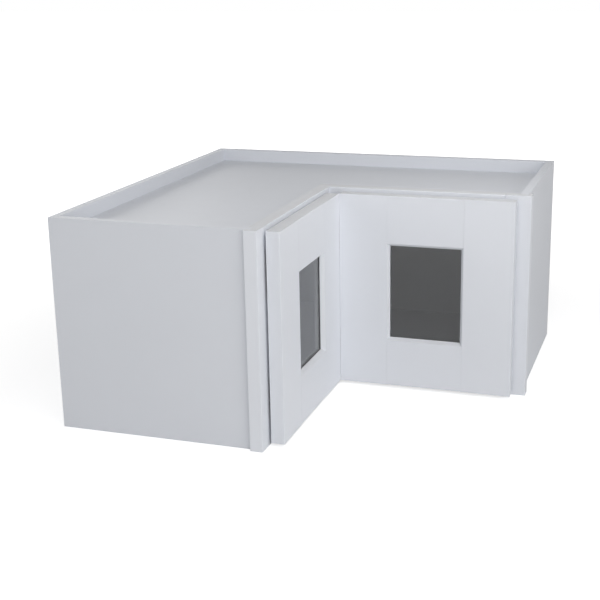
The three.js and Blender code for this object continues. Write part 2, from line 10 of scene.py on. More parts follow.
import bpy
import numpy as np
from bpy.props import FloatProperty, FloatVectorProperty, IntProperty, PointerProperty
from bpy.types import Operator, Panel, PropertyGroup
from mathutils import Matrix, Vector


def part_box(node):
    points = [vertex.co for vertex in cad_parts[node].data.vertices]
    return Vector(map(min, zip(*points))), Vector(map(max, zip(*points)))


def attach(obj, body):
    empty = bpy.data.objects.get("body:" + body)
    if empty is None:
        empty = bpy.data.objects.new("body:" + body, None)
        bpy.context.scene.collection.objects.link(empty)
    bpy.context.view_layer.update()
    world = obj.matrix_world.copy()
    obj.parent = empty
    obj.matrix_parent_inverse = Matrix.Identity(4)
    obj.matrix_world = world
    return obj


bl_info = {
    "name": "Corner Wall Cabinet",
    "version": (1, 0, 0),
    "blender": (4, 5, 0),
    "location": "View3D > Sidebar > Cabinet",
    "description": "Paints, glazes and fits out a corner wall cabinet with folding glass doors",
    "category": "Object",
}

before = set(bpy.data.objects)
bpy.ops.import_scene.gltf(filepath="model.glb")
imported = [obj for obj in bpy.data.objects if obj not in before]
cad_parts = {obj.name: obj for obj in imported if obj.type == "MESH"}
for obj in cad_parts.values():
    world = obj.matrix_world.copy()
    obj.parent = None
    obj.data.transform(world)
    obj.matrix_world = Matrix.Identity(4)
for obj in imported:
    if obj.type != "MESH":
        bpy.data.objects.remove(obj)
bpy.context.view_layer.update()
MM = 0.001
WINGS = ("left", "right")
LEVELS = ("lower", "upper")


# ---- Settings ----


class PaintSettings(PropertyGroup):
    """The sprayed white paint on case, face frame and doors."""

    # Painted shade: the case gets a darker tone than frame and doors, though all wear the same
    # white paint, so that its faces render darker.
    case_colour_with_shade: FloatVectorProperty(
        name="Case Colour",
        description="Paint on the end panels, backs, top and bottom",
        subtype="COLOR",
        size=3,
        min=0,
        max=1,
        default=(0.77, 0.79, 0.835),
    )
    frame_colour: FloatVectorProperty(
        name="Frame Colour",
        description="Paint on the stiles and rails of the face frame",
        subtype="COLOR",
        size=3,
        min=0,
        max=1,
        default=(0.83, 0.85, 0.895),
    )
    door_colour: FloatVectorProperty(
        name="Door Colour",
        description="Paint on the doors and their glazing beads",
        subtype="COLOR",
        size=3,
        min=0,
        max=1,
        default=(0.83, 0.85, 0.895),
    )
    roughness: FloatProperty(
        name="Roughness",
        description="Satin sheen of the paint",
        subtype="FACTOR",
        min=0,
        max=1,
        default=0.5,
    )
    specular: FloatProperty(
        name="Specular",
        description="How strongly the paint mirrors the room, where 0.5 is a plain varnish",
        subtype="FACTOR",
        min=0,
        max=1,
        default=0.12,
    )
    mottle: FloatProperty(
        name="Mottle",
        description="How far the colour drifts over a board",
        subtype="FACTOR",
        min=0,
        max=0.2,
        default=0.016,
    )
    stipple_height: FloatProperty(
        name="Stipple Height",
        description="Height of the fine orange-peel texture that a spray gun leaves",
        unit="LENGTH",
        min=0,
        max=0.001,
        precision=6,
        default=0.00004,
    )
    grain_relief: FloatProperty(
        name="Grain Relief",
        description="Height of the wood grain that shows faintly through the paint",
        unit="LENGTH",
        min=0,
        max=0.001,
        precision=6,
        default=0.00007,
    )
    edge_radius: FloatProperty(
        name="Edge Radius",
        description="Radius to which sanding and paint soften the edges of case and face frame",
        unit="LENGTH",
        min=0,
        max=0.005,
        precision=5,
        default=0.0003,
    )
    door_edge_radius: FloatProperty(
        name="Door Edge Radius",
        description="The same on the doors, whose joints are sanded flush and filled with paint",
        unit="LENGTH",
        min=0,
        max=0.005,
        precision=5,
        default=0.0001,
    )
    # Painted highlight: the paint is made lighter along every edge, so that the edges look lit.
    edge_highlight: FloatProperty(
        name="Edge Wear",
        description="How much lighter the thin paint along an edge is",
        subtype="FACTOR",
        min=0,
        max=1,
        default=0.15,
    )
    # Dust and painted shade: level faces of the case darken, evenly and more in their corners,
    # partly as dust lies and partly as shade falls.
    dust_and_shade: FloatProperty(
        name="Dust",
        description="How much dust has settled on level faces, most of it in their corners",
        subtype="FACTOR",
        min=0,
        max=1,
        default=0.16,
    )
    # Mostly painted shade: an even darkening of the narrow level tops of face frame and doors,
    # with a little dust in patches.
    ledge_dust_and_shade: FloatProperty(
        name="Ledge Dust",
        description="The same on the narrow top edges of face frame and doors",
        subtype="FACTOR",
        min=0,
        max=1,
        default=0.5,
    )
    # Colour of the dust and of the painted shade on level faces.
    dust_and_shade_colour: FloatVectorProperty(
        name="Dust Colour",
        description="House dust on white paint",
        subtype="COLOR",
        size=3,
        min=0,
        max=1,
        default=(0.5, 0.49, 0.475),
    )


class GlassSettings(PropertyGroup):
    """The smoked panes and the dark gaskets that they lie in."""

    tint: FloatVectorProperty(
        name="Tint",
        description="Colour that one face of the glass lets through",
        subtype="COLOR",
        size=3,
        min=0,
        max=1,
        default=(0.66, 0.67, 0.68),
    )
    ior: FloatProperty(
        name="Refraction",
        description="Index of refraction of soda-lime glass",
        min=1,
        max=2,
        default=1.5,
    )
    ripple: FloatProperty(
        name="Ripple",
        description="Height of the slow waves in a rolled pane",
        unit="LENGTH",
        min=0,
        max=0.001,
        precision=6,
        default=0.00001,
    )
    smudge: FloatProperty(
        name="Smudge",
        description="Extra roughness where the glass has been wiped",
        subtype="FACTOR",
        min=0,
        max=0.3,
        default=0.03,
    )
    gasket_colour: FloatVectorProperty(
        name="Gasket Colour",
        description="Rubber strip between glass and wood",
        subtype="COLOR",
        size=3,
        min=0,
        max=1,
        default=(0.03, 0.03, 0.033),
    )


class HardwareSettings(PropertyGroup):
    """Hinges, pins, screws and bumpers."""

    nickel_colour: FloatVectorProperty(
        name="Nickel Colour",
        description="Plating on brackets, links, cups and leaves",
        subtype="COLOR",
        size=3,
        min=0,
        max=1,
        default=(0.66, 0.64, 0.6),
    )
    steel_colour: FloatVectorProperty(
        name="Steel Colour",
        description="Ground steel of the pins",
        subtype="COLOR",
        size=3,
        min=0,
        max=1,
        default=(0.5, 0.5, 0.51),
    )
    bumper_colour: FloatVectorProperty(
        name="Bumper Colour",
        description="Clear soft plastic of the door bumpers",
        subtype="COLOR",
        size=3,
        min=0,
        max=1,
        default=(0.8, 0.81, 0.82),
    )
    screw_head_radius: FloatProperty(
        name="Screw Head Radius",
        description="Radius of the low heads that hold brackets, cups and leaves",
        unit="LENGTH",
        min=0.001,
        max=0.01,
        precision=4,
        default=0.0032,
    )
    screw_head_height: FloatProperty(
        name="Screw Head Height",
        description="How far a head stands off the plate",
        unit="LENGTH",
        min=0.0002,
        max=0.005,
        precision=4,
        default=0.0009,
    )
    zinc_colour: FloatVectorProperty(
        name="Zinc Colour",
        description="Plating on the screw heads",
        subtype="COLOR",
        size=3,
        min=0,
        max=1,
        default=(0.6, 0.6, 0.61),
    )
    brad_radius: FloatProperty(
        name="Brad Radius",
        description="Radius of the brad heads on the glazing beads",
        unit="LENGTH",
        min=0.0003,
        max=0.003,
        precision=4,
        default=0.0009,
    )
    brad_height: FloatProperty(
        name="Brad Height",
        description="How far a brad head stands off its bead",
        unit="LENGTH",
        min=0.0001,
        max=0.001,
        precision=5,
        default=0.00025,
    )
    screw_rings: IntProperty(
        name="Screw Rings",
        description="Rings of points across a screw head",
        min=6,
        max=60,
        default=18,
    )


class StageSettings(PropertyGroup):
    """Floor, lights and camera."""

    floor_colour: FloatVectorProperty(
        name="Floor Colour",
        description="Plain pale floor",
        subtype="COLOR",
        size=3,
        min=0,
        max=1,
        default=(0.8, 0.8, 0.8),
    )
    near_white: FloatProperty(
        name="White Near",
        description="White added round the cabinet, as the camera, glass and metal see the floor",
        min=0,
        max=2,
        default=0.6,
    )
    far_white: FloatProperty(
        name="White Far",
        description="White added far from the cabinet",
        min=0,
        max=2,
        default=1.0,
    )
    room_light: FloatProperty(
        name="Room Light",
        description="Strength of the even light from the whole room",
        min=0,
        max=5,
        default=0.25,
    )
    lamp_level: FloatProperty(
        name="Lamp Level",
        description="Share of their full power at which the lamps burn",
        min=0,
        max=5,
        default=1,
    )
    camera_position: FloatVectorProperty(
        name="Camera Position",
        description="Where the camera stands",
        subtype="TRANSLATION",
        size=3,
        default=(0.524, -1.6331, 0.6369),
    )
    camera_azimuth: FloatProperty(
        name="Camera Azimuth",
        description="Angle of the view from +Y towards -X",
        subtype="ANGLE",
        default=math.radians(18.416),
    )
    camera_elevation: FloatProperty(
        name="Camera Elevation",
        description="Angle at which the camera looks down",
        subtype="ANGLE",
        default=math.radians(15.977),
    )
    camera_roll: FloatProperty(
        name="Camera Roll",
        description="Turn of the camera about its view",
        subtype="ANGLE",
        default=math.radians(-0.889),
    )
    focal_length: FloatProperty(
        name="Focal Length",
        description="Lens on a 36 mm sensor",
        unit="CAMERA",
        min=10,
        default=69.18,
    )
    lens_shift: FloatVectorProperty(
        name="Lens Shift",
        description="Sideways and upward shift of the picture",
        size=2,
        precision=4,
        default=(-0.03, -0.02),
    )


SETTINGS = {
    "cabinet_paint": PaintSettings,
    "cabinet_glass": GlassSettings,
    "cabinet_hardware": HardwareSettings,
    "cabinet_stage": StageSettings,
}


# ---- Shader helpers ----


def set_inputs(tree, node, values):
    """Gives a node its inputs: a socket is linked, and any other value is set."""
    for name, value in values.items():
        if isinstance(value, bpy.types.NodeSocket):
            tree.links.new(value, node.inputs[name])
        else:
            node.inputs[name].default_value = value


def add_node(tree, kind, values=None, **settings):
    """A node of that kind, with its properties and its inputs set."""
    node = tree.nodes.new(kind)
    for name, value in settings.items():
        setattr(node, name, value)
    set_inputs(tree, node, values or {})
    return node


def new_group(name, inputs, outputs):
    """An empty node group with named sockets. Returns the tree, its input and output node."""
    tree = bpy.data.node_groups.new(name, "ShaderNodeTree")
    for label, kind, default in inputs:
        socket = tree.interface.new_socket(label, in_out="INPUT", socket_type=kind)
        if default is not None:
            socket.default_value = default
    for label, kind in outputs:
        tree.interface.new_socket(label, in_out="OUTPUT", socket_type=kind)
    return tree, tree.nodes.new("NodeGroupInput"), tree.nodes.new("NodeGroupOutput")


def new_material(name):
    """A material with one Principled BSDF. Returns the material, its tree and that shader."""
    material = bpy.data.materials.new(name)
    material.use_nodes = True
    tree = material.node_tree
    tree.nodes.clear()
    shader = tree.nodes.new("ShaderNodeBsdfPrincipled")
    add_node(tree, "ShaderNodeOutputMaterial", {"Surface": shader.outputs["BSDF"]})
    return material, tree, shader


def scaled(tree, value, low, high):
    """Maps a 0 to 1 value onto low to high."""
    values = {"Value": value, "To Min": low, "To Max": high}
    return add_node(tree, "ShaderNodeMapRange", values).outputs["Result"]


def spread(tree, value, low, high):
    """Maps low to high onto 0 to 1. What lies outside stays at 0 or 1."""
    values = {"Value": value, "From Min": low, "From Max": high}
    return add_node(tree, "ShaderNodeMapRange", values).outputs["Result"]


def arithmetic(tree, operation, first, second):
    """One arithmetic step. Either side is a socket or a number."""
    values = {0: first, 1: second}
    return add_node(tree, "ShaderNodeMath", values, operation=operation).outputs["Value"]


def shaded(tree, colour, factor):
    """A colour made lighter or darker by a factor."""
    values = {"Vector": colour, "Scale": factor}
    return add_node(tree, "ShaderNodeVectorMath", values, operation="SCALE").outputs["Vector"]


def mixed_colour(tree, factor, first, second):
    """Mixes two colours. The factor is a socket; a colour is a socket or four numbers."""
    mix = add_node(tree, "ShaderNodeMix", {"Factor": factor}, data_type="RGBA")
    slots = [slot for slot, socket in enumerate(mix.inputs) if socket.type == "RGBA"]
    set_inputs(tree, mix, dict(zip(slots, (first, second))))
    return next(socket for socket in mix.outputs if socket.type == "RGBA")


def object_coordinates(tree):
    """The place on the object, in metres."""
    return tree.nodes.new("ShaderNodeTexCoord").outputs["Object"]


def stretched(tree, coordinates, factor):
    """Coordinates that draw a pattern out along X, by the factor."""
    values = {0: coordinates, 1: (1, factor, factor)}
    return add_node(tree, "ShaderNodeVectorMath", values, operation="MULTIPLY").outputs["Vector"]


def noise(tree, coordinates, scale, detail, **shape):
    """A noise from 0 to 1, with the scale's number of cells to the metre."""
    values = {"Vector": coordinates, "Scale": scale, "Detail": detail, **shape}
    return add_node(tree, "ShaderNodeTexNoise", values).outputs["Fac"]


def relief(tree, height, normal=None):
    """The normal of a height in metres, over the given normal or the surface's own."""
    values = {"Height": height, "Strength": 1.0, "Distance": 1.0}
    if normal is not None:
        values["Normal"] = normal
    return add_node(tree, "ShaderNodeBump", values).outputs["Normal"]


# ---- Shared effects ----

# Rays that look for the edges and corners round a point.
PROBES = 6
# How many times longer than wide grain lines and scratches are.
GRAIN_STRETCH, SCRATCH_STRETCH = 16, 24
# How far the roughness of paint swings with its colour.
GLOSS_SWING = 0.12
# One less the cosine between two normals at which the mask of an edge is full.
FULL_EDGE = 0.25
# Upward part of the normal at which dust and painted shade start, and at which they are full.
DUST_AND_SHADE_SLOPES = (0.7, 0.95)
# How far a corner gathers dust and painted shade, and the open share of the sky in the open and in
# a corner.
CORNER_REACH = 50 * MM
CORNER_SKY = (0.95, 0.4)
# Values of the noise between which a patch of dust builds up.
DUST_PATCHES = (0.35, 0.7)
# Darkest and lightest tarnish, what scratches do to the roughness, and their height.
TARNISH_SHADES = (0.88, 1.08)
SCRATCH_ROUGHNESS = (-0.12, 0.14)
SCRATCH_HEIGHT = 0.006 * MM


def painted_grain_group():
    """Paint over wood. X of the coordinates runs along the grain.

    Colour and gloss drift slowly over a board; the relief adds a fine stipple, and grain lines
    drawn out along X.
    """
    tree, start, end = new_group(
        "painted_grain",
        [
            ("Coordinates", "NodeSocketVector", None),
            ("Colour", "NodeSocketColor", (0.8, 0.8, 0.8, 1)),
            ("Mottle", "NodeSocketFloat", 0.02),
            ("Roughness", "NodeSocketFloat", 0.45),
            ("Stipple Height", "NodeSocketFloat", 0.00001),
            ("Grain Relief", "NodeSocketFloat", 0.00001),
        ],
        [
            ("Colour", "NodeSocketColor"),
            ("Roughness", "NodeSocketFloat"),
            ("Height", "NodeSocketFloat"),
        ],
    )
    coordinates = start.outputs["Coordinates"]
    drift = noise(tree, coordinates, scale=7, detail=3)
    # The noise swings by half to either side, so its share of the colour counts double.
    swing = arithmetic(tree, "SUBTRACT", drift, 0.5)
    share = arithmetic(tree, "MULTIPLY", swing, start.outputs["Mottle"])
    factor = arithmetic(tree, "ADD", arithmetic(tree, "MULTIPLY", share, 2.0), 1.0)
    gloss = arithmetic(tree, "MULTIPLY", swing, GLOSS_SWING)
    stipple = noise(tree, coordinates, scale=620, detail=1.5)
    along_grain = stretched(tree, coordinates, GRAIN_STRETCH)
    grain = noise(tree, along_grain, scale=22, detail=4, Roughness=0.6, Distortion=0.4)
    fine = arithmetic(tree, "MULTIPLY", stipple, start.outputs["Stipple Height"])
    lines = arithmetic(tree, "MULTIPLY", grain, start.outputs["Grain Relief"])
    results = {
        "Colour": shaded(tree, start.outputs["Colour"], factor),
        "Roughness": arithmetic(tree, "ADD", start.outputs["Roughness"], gloss),
        "Height": arithmetic(tree, "ADD", fine, lines),
    }
    set_inputs(tree, end, results)
    return tree


def soft_edges_group():
    """Rounds the shading of every edge, and marks the edges with a mask.

    The mask is one less the cosine between the rounded normal and the surface's own, spread
    to 0..1.
    """
    tree, start, end = new_group(
        "soft_edges",
        [("Radius", "NodeSocketFloat", 0.0006)],
        [("Normal", "NodeSocketVector"), ("Edge", "NodeSocketFloat")],
    )
    radius = {"Radius": start.outputs["Radius"]}
    rounded = add_node(tree, "ShaderNodeBevel", radius, samples=PROBES).outputs["Normal"]
    surface = tree.nodes.new("ShaderNodeNewGeometry").outputs["Normal"]
    normals = {0: rounded, 1: surface}
    cosine = add_node(tree, "ShaderNodeVectorMath", normals, operation="DOT_PRODUCT")
    turned = arithmetic(tree, "SUBTRACT", 1.0, cosine.outputs["Value"])
    set_inputs(tree, end, {"Normal": rounded, "Edge": spread(tree, turned, 0, FULL_EDGE)})
    return tree


def dust_and_level_shade_group():
    """Marks where dust and painted shade lie: on faces that look up, in noisy patches, most in the
    corners.

    The mask is the normal's Z, times a noise, times the share of the sky that is hidden, so
    corners get painted shade as well as dust. Noise and share start at the film, the even share
    that darkens every level face, partly dust and partly painted shade.
    """
    tree, start, end = new_group(
        "dust_and_level_shade",
        [
            ("Coordinates", "NodeSocketVector", None),
            ("Amount", "NodeSocketFloat", 0.2),
            ("Film", "NodeSocketFloat", 0.25),
        ],
        [("Mask", "NodeSocketFloat")],
    )
    surface = tree.nodes.new("ShaderNodeNewGeometry").outputs["Normal"]
    upward = add_node(tree, "ShaderNodeSeparateXYZ", {"Vector": surface}).outputs["Z"]
    level = spread(tree, upward, *DUST_AND_SHADE_SLOPES)
    reach = {"Distance": CORNER_REACH}
    # Corners darken: painted shade, together with the dust that gathers there.
    sky = add_node(tree, "ShaderNodeAmbientOcclusion", reach, samples=PROBES).outputs["AO"]
    hidden = spread(tree, sky, *CORNER_SKY)
    patches = noise(tree, start.outputs["Coordinates"], scale=38, detail=5, Roughness=0.65)
    settled = spread(tree, patches, *DUST_PATCHES)
    film = start.outputs["Film"]
    in_corners, in_patches = scaled(tree, hidden, film, 1), scaled(tree, settled, film, 1)
    lying = arithmetic(tree, "MULTIPLY", in_corners, in_patches)
    on_level = arithmetic(tree, "MULTIPLY", level, lying)
    mask = arithmetic(tree, "MULTIPLY", on_level, start.outputs["Amount"])
    set_inputs(tree, end, {"Mask": mask})
    return tree


def brushed_metal_group():
    """Fine scratches along X of the coordinates, for plated and ground metal."""
    tree, start, end = new_group(
        "brushed_metal",
        [
            ("Coordinates", "NodeSocketVector", None),
            ("Colour", "NodeSocketColor", (0.6, 0.6, 0.6, 1)),
            ("Roughness", "NodeSocketFloat", 0.3),
        ],
        [
            ("Colour", "NodeSocketColor"),
            ("Roughness", "NodeSocketFloat"),
            ("Height", "NodeSocketFloat"),
        ],
    )
    coordinates = start.outputs["Coordinates"]
    along_brush = stretched(tree, coordinates, SCRATCH_STRETCH)
    scratch = noise(tree, along_brush, scale=160, detail=3, Roughness=0.65)
    tarnish = scaled(tree, noise(tree, coordinates, scale=90, detail=2), *TARNISH_SHADES)
    rough = scaled(tree, scratch, *SCRATCH_ROUGHNESS)
    results = {
        "Colour": shaded(tree, start.outputs["Colour"], tarnish),
        "Roughness": arithmetic(tree, "ADD", start.outputs["Roughness"], rough),
        "Height": scaled(tree, scratch, 0, SCRATCH_HEIGHT),
    }
    set_inputs(tree, end, results)
    return tree


GROUP_MAKERS = {
    "painted_grain": painted_grain_group,
    "soft_edges": soft_edges_group,
    "dust_and_level_shade": dust_and_level_shade_group,
    "brushed_metal": brushed_metal_group,
}


def place_group(tree, name, values):
    """A shared effect in a material's tree. Its group is built when it is first asked for."""
    group = bpy.data.node_groups.get(name) or GROUP_MAKERS[name]()
    return add_node(tree, "ShaderNodeGroup", values, node_tree=group)


# ---- Materials ----

# Lighter paint along the edges, as a painted highlight.
EDGE_HIGHLIGHT_PAINT = (0.88, 0.88, 0.88, 1)
# Shares of the dust and painted shade that lie as an even film, on wide boards and on narrow
# ledges, where it is mostly painted shade on their tops.
BOARD_FILM, LEDGE_FILM_AND_SHADE = 0.25, 0.8
METAL_EDGE_RADIUS = 0.3 * MM
NICKEL_ROUGHNESS, STEEL_ROUGHNESS, ZINC_ROUGHNESS, BRAD_ROUGHNESS = 0.3, 0.26, 0.34, 0.4
# The gasket's bloom is this many times lighter than its rubber, over a pebble of this height.
BLOOM_LIGHTNESS, PEBBLE_HEIGHT = 3, 0.02 * MM
GASKET_ROUGHNESS = (0.55, 0.8)
CLOUD_SHADES, BUMPER_ROUGHNESS = (0.9, 1.05), (0.22, 0.4)
BUMPER_CLEARNESS = 0.5
# Turns that lay the X axis of a pattern along a board's grain.
GRAIN_TURNS = {
    "x": (0, 0, 0),
    "y": (0, 0, -math.pi / 2),
    "z": (0, math.pi / 2, 0),
}


def grain_coordinates(tree, axis):
    """Object coordinates turned so that X runs along the given axis."""
    values = {"Vector": object_coordinates(tree), "Rotation": GRAIN_TURNS[axis]}
    return add_node(tree, "ShaderNodeMapping", values).outputs["Vector"]


def paint_material(part, axis, paint):
    """Satin paint of the case, frame or door, over wood whose grain runs along one axis."""
    name = f"{part}_paint_{axis}"
    known = bpy.data.materials.get(name)
    if known:
        return known
    colour, edge_radius, dust_and_shade_amount, film = {
        # The case's darker colour is painted shade.
        "case": (paint.case_colour_with_shade, paint.edge_radius, paint.dust_and_shade, BOARD_FILM),
        # On face frame and doors the film darkens the level tops: mostly painted shade, partly
        # dust.
        "frame": (paint.frame_colour, paint.edge_radius, paint.ledge_dust_and_shade, LEDGE_FILM_AND_SHADE),
        "door": (paint.door_colour, paint.door_edge_radius, paint.ledge_dust_and_shade, LEDGE_FILM_AND_SHADE),
    }[part]
    material, tree, shader = new_material(name)
    coordinates = grain_coordinates(tree, axis)
    spray = {
        "Coordinates": coordinates,
        "Colour": (*colour, 1),
        "Mottle": paint.mottle,
        "Roughness": paint.roughness,
        "Stipple Height": paint.stipple_height,
        "Grain Relief": paint.grain_relief,
    }
    surface = place_group(tree, "painted_grain", spray)
    edges = place_group(tree, "soft_edges", {"Radius": edge_radius})
    # Painted highlight: the paint lightens towards every edge.
    edge_highlight_share = arithmetic(tree, "MULTIPLY", edges.outputs["Edge"], paint.edge_highlight)
    coat = mixed_colour(tree, edge_highlight_share, surface.outputs["Colour"], EDGE_HIGHLIGHT_PAINT)
    # Dust and painted shade on level faces, evenly and more in corners.
    dust_and_shade_inputs = {"Coordinates": coordinates, "Amount": dust_and_shade_amount, "Film": film}
    dust_and_shade = place_group(tree, "dust_and_level_shade", dust_and_shade_inputs).outputs["Mask"]
    finish = {
        "Base Color": mixed_colour(tree, dust_and_shade, coat, (*paint.dust_and_shade_colour, 1)),
        "Roughness": surface.outputs["Roughness"],
        "Specular IOR Level": paint.specular,
        "Normal": relief(tree, surface.outputs["Height"], edges.outputs["Normal"]),
    }
    set_inputs(tree, shader, finish)
    return material


def glass_material(glass):
    """Smoked float glass with slow ripples and faint wipe marks."""
    material, tree, shader = new_material("smoked_glass_pane")
    coordinates = object_coordinates(tree)
    wipes = noise(tree, coordinates, scale=14, detail=4, Distortion=1.5)
    waves = noise(tree, coordinates, scale=11, detail=0)
    finish = {
        "Base Color": (*glass.tint, 1),
        "Roughness": scaled(tree, wipes, 0, glass.smudge),
        "IOR": glass.ior,
        "Transmission Weight": 1,
        "Normal": relief(tree, scaled(tree, waves, 0, glass.ripple)),
    }
    set_inputs(tree, shader, finish)
    return material


def gasket_material(glass):
    """Matt rubber with a fine pebble and a little chalky bloom."""
    material, tree, shader = new_material("gasket_rubber")
    bloom = noise(tree, object_coordinates(tree), scale=180, detail=3)
    rubber = tuple(glass.gasket_colour)
    chalky = tuple(BLOOM_LIGHTNESS * value for value in rubber)
    finish = {
        "Base Color": mixed_colour(tree, bloom, (*rubber, 1), (*chalky, 1)),
        "Roughness": scaled(tree, bloom, *GASKET_ROUGHNESS),
        "Normal": relief(tree, scaled(tree, bloom, 0, PEBBLE_HEIGHT)),
    }
    set_inputs(tree, shader, finish)
    return material


def metal_material(name, colour, roughness, axis):
    """Plated or ground metal, brushed along one axis, with softened edges."""
    material, tree, shader = new_material(name)
    brushing = {
        "Coordinates": grain_coordinates(tree, axis),
        "Colour": (*colour, 1),
        "Roughness": roughness,
    }
    surface = place_group(tree, "brushed_metal", brushing)
    edges = place_group(tree, "soft_edges", {"Radius": METAL_EDGE_RADIUS})
    finish = {
        "Base Color": surface.outputs["Colour"],
        "Metallic": 1,
        "Roughness": surface.outputs["Roughness"],
        "Normal": relief(tree, surface.outputs["Height"], edges.outputs["Normal"]),
    }
    set_inputs(tree, shader, finish)
    return material


def bumper_material(colour):
    """Clear soft plastic, clouded a little inside."""
    material, tree, shader = new_material("bumper_plastic")
    cloud = noise(tree, object_coordinates(tree), scale=260, detail=2)
    finish = {
        "Base Color": shaded(tree, colour, scaled(tree, cloud, *CLOUD_SHADES)),
        "Roughness": scaled(tree, cloud, *BUMPER_ROUGHNESS),
        "Transmission Weight": BUMPER_CLEARNESS,
    }
    set_inputs(tree, shader, finish)
    return material


def dress(node, material):
    """Gives a node of the frame its material."""
    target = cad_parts[node]
    if target.material_slots:
        target.material_slots[0].material = material
    else:
        target.data.materials.append(material)


# ---- Screws and brads ----

UP = (0, 0, 1)
# Shares of a head's height that its rim and the dome on it take.
RIM_SHARE, DOME_SHARE = 0.45, 0.55
# Reach and half width of a slot of the cross, as shares of the head's radius.
CROSS_REACH, CROSS_HALF_WIDTH = 0.62, 0.13
# Shares of the half width at which a slot's wall starts and over which it falls, and the share
# of the reach over which its end falls.
WALL_START, WALL_RUN, END_RUN = 1.5, 0.8, 0.3
CROSS_DEPTH_SHARE = 0.6
SCREW_SIDES = 40
BRAD_RINGS, BRAD_SIDES = 6, 16
# Places of the screws on their plates, as the holes in the solids have them.
BRACKET_SCREW_RISE, CUP_SCREW_RISE, LEAF_SCREW_RISE = 17 * MM, 24.5 * MM, 16 * MM
BRACKET_PLATE, LEAF_PLATE = 1 * MM, 1.5 * MM
BRACKET_SCREW_X, CUP_FLANGE_X = -9 * MM, 2.6 * MM
LEAF_EDGE_TO_SCREW = 4.5 * MM
# Shares of a bead's length at which its brads stand.
BRAD_SHARES = (0.14, 0.5, 0.86)


def head_profile(rings, radius, height):
    """A low dome: height falls as the square root of one less the radius squared, to a flat rim.

    Returns radii and heights from the middle outwards, then the rim's side down to the plate.
    """
    share = np.linspace(0, 1, rings)
    dome = height * (RIM_SHARE + DOME_SHARE * np.sqrt(np.clip(1 - share**2, 0, 1)))
    radii = np.append(radius * share, radius)
    heights = np.append(dome, 0.0)
    return radii, heights


def cross_recess(x, y, radius, depth):
    """Depth of a cross-shaped pit: two tapered slots at right angles, deepest in the middle."""
    reach = CROSS_REACH * radius
    half_width = CROSS_HALF_WIDTH * radius
    along = np.maximum(np.abs(x), np.abs(y))
    beside = np.minimum(np.abs(x), np.abs(y))
    wall = np.clip((half_width * WALL_START - beside) / (half_width * WALL_RUN), 0, 1)
    end = np.clip((reach - along) / (END_RUN * reach), 0, 1)
    return depth * wall * end


def head_surface(place, radius, height, rings, sides, pit):
    """Points and faces of one round head. The place is its centre and its outward axis.

    The head is the profile turned about the outward axis, less a cross recess as deep as the
    pit. The rings are a grid of ring by side, closed by one point in the middle and a face
    against the plate.
    """
    centre, outward, up = (np.array(part, float) for part in (*place, UP))
    radii, heights = head_profile(rings, radius, height)
    angles = np.linspace(0, 2 * np.pi, sides, endpoint=False)
    x = radii[1:, None] * np.cos(angles)[None, :]
    y = radii[1:, None] * np.sin(angles)[None, :]
    z = np.broadcast_to(heights[1:, None], x.shape) - cross_recess(x, y, radius, pit)
    z = np.maximum(z, 0.0)
    middle = np.array([[0, 0, heights[0] - pit]])
    grid = np.stack([x, y, z], axis=-1).reshape(-1, 3)
    base = np.zeros((1, 3))
    local = np.concatenate([middle, grid, base])
    points = centre + local @ np.stack([np.cross(up, outward), up, outward])

    ring_count = len(radii) - 1
    side = np.arange(sides)
    following = (side + 1) % sides
    starts = 1 + sides * np.arange(ring_count - 1)[:, None]
    inner, inner_next = starts + side, starts + following
    quads = np.stack([inner, inner + sides, inner_next + sides, inner_next], axis=-1)
    fan = np.stack([np.zeros_like(side), 1 + side, 1 + following], axis=-1)
    last = 1 + (ring_count - 1) * sides
    under = np.full_like(side, len(local) - 1)
    closing = np.stack([under, last + following, last + side], axis=-1)
    return points, quads.reshape(-1, 4), np.concatenate([fan, closing])


def heads_object(name, body, heads, material):
    """One mesh of several heads, riding on a body."""
    points, faces, total = [], [], 0
    for head, quads, triangles in heads:
        points.append(head)
        faces += (quads + total).tolist() + (triangles + total).tolist()
        total += len(head)
    mesh = bpy.data.meshes.new(name)
    mesh.from_pydata(np.concatenate(points).tolist(), [], faces)
    mesh.materials.append(material)
    mesh.shade_smooth()
    piece = bpy.data.objects.new(name, mesh)
    bpy.context.scene.collection.objects.link(piece)
    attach(piece, body)


def plate_places(node, rise, known, outward):
    """Two screw places on a plate, above and below its middle. Known gives X or Y by axis."""
    low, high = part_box(node)
    middle = (np.array(low) + np.array(high)) / 2
    for axis, value in known.items():
        middle[axis] = value
    return [(middle + (0, 0, offset), outward) for offset in (-rise, rise)]


def screw_places(level):
    """Name, body and places of each set of screws on the hinges of one level."""
    bracket = f"{level}_hinge_bracket"
    left_leaf = f"{level}_corner_hinge_left_leaf"
    right_leaf = f"{level}_corner_hinge_right_leaf"
    bracket_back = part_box(bracket)[0][1]
    left_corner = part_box(left_leaf)[0]
    right_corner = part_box(right_leaf)[1]
    bracket_spot = {0: BRACKET_SCREW_X, 1: bracket_back + BRACKET_PLATE}
    left_spot = {0: left_corner[0] + LEAF_EDGE_TO_SCREW, 1: left_corner[1] + LEAF_PLATE}
    right_spot = {0: right_corner[0] - LEAF_PLATE, 1: right_corner[1] - LEAF_EDGE_TO_SCREW}
    backward, leftward = (0, 1, 0), (-1, 0, 0)
    return (
        (
            "bracket_screws",
            "case",
            plate_places(bracket, BRACKET_SCREW_RISE, bracket_spot, backward),
        ),
        (
            "cup_screws",
            "left_door",
            plate_places(f"{level}_hinge_cup", CUP_SCREW_RISE, {0: CUP_FLANGE_X}, leftward),
        ),
        (
            "left_leaf_screws",
            "left_door",
            plate_places(left_leaf, LEAF_SCREW_RISE, left_spot, backward),
        ),
        (
            "right_leaf_screws",
            "right_door",
            plate_places(right_leaf, LEAF_SCREW_RISE, right_spot, leftward),
        ),
    )


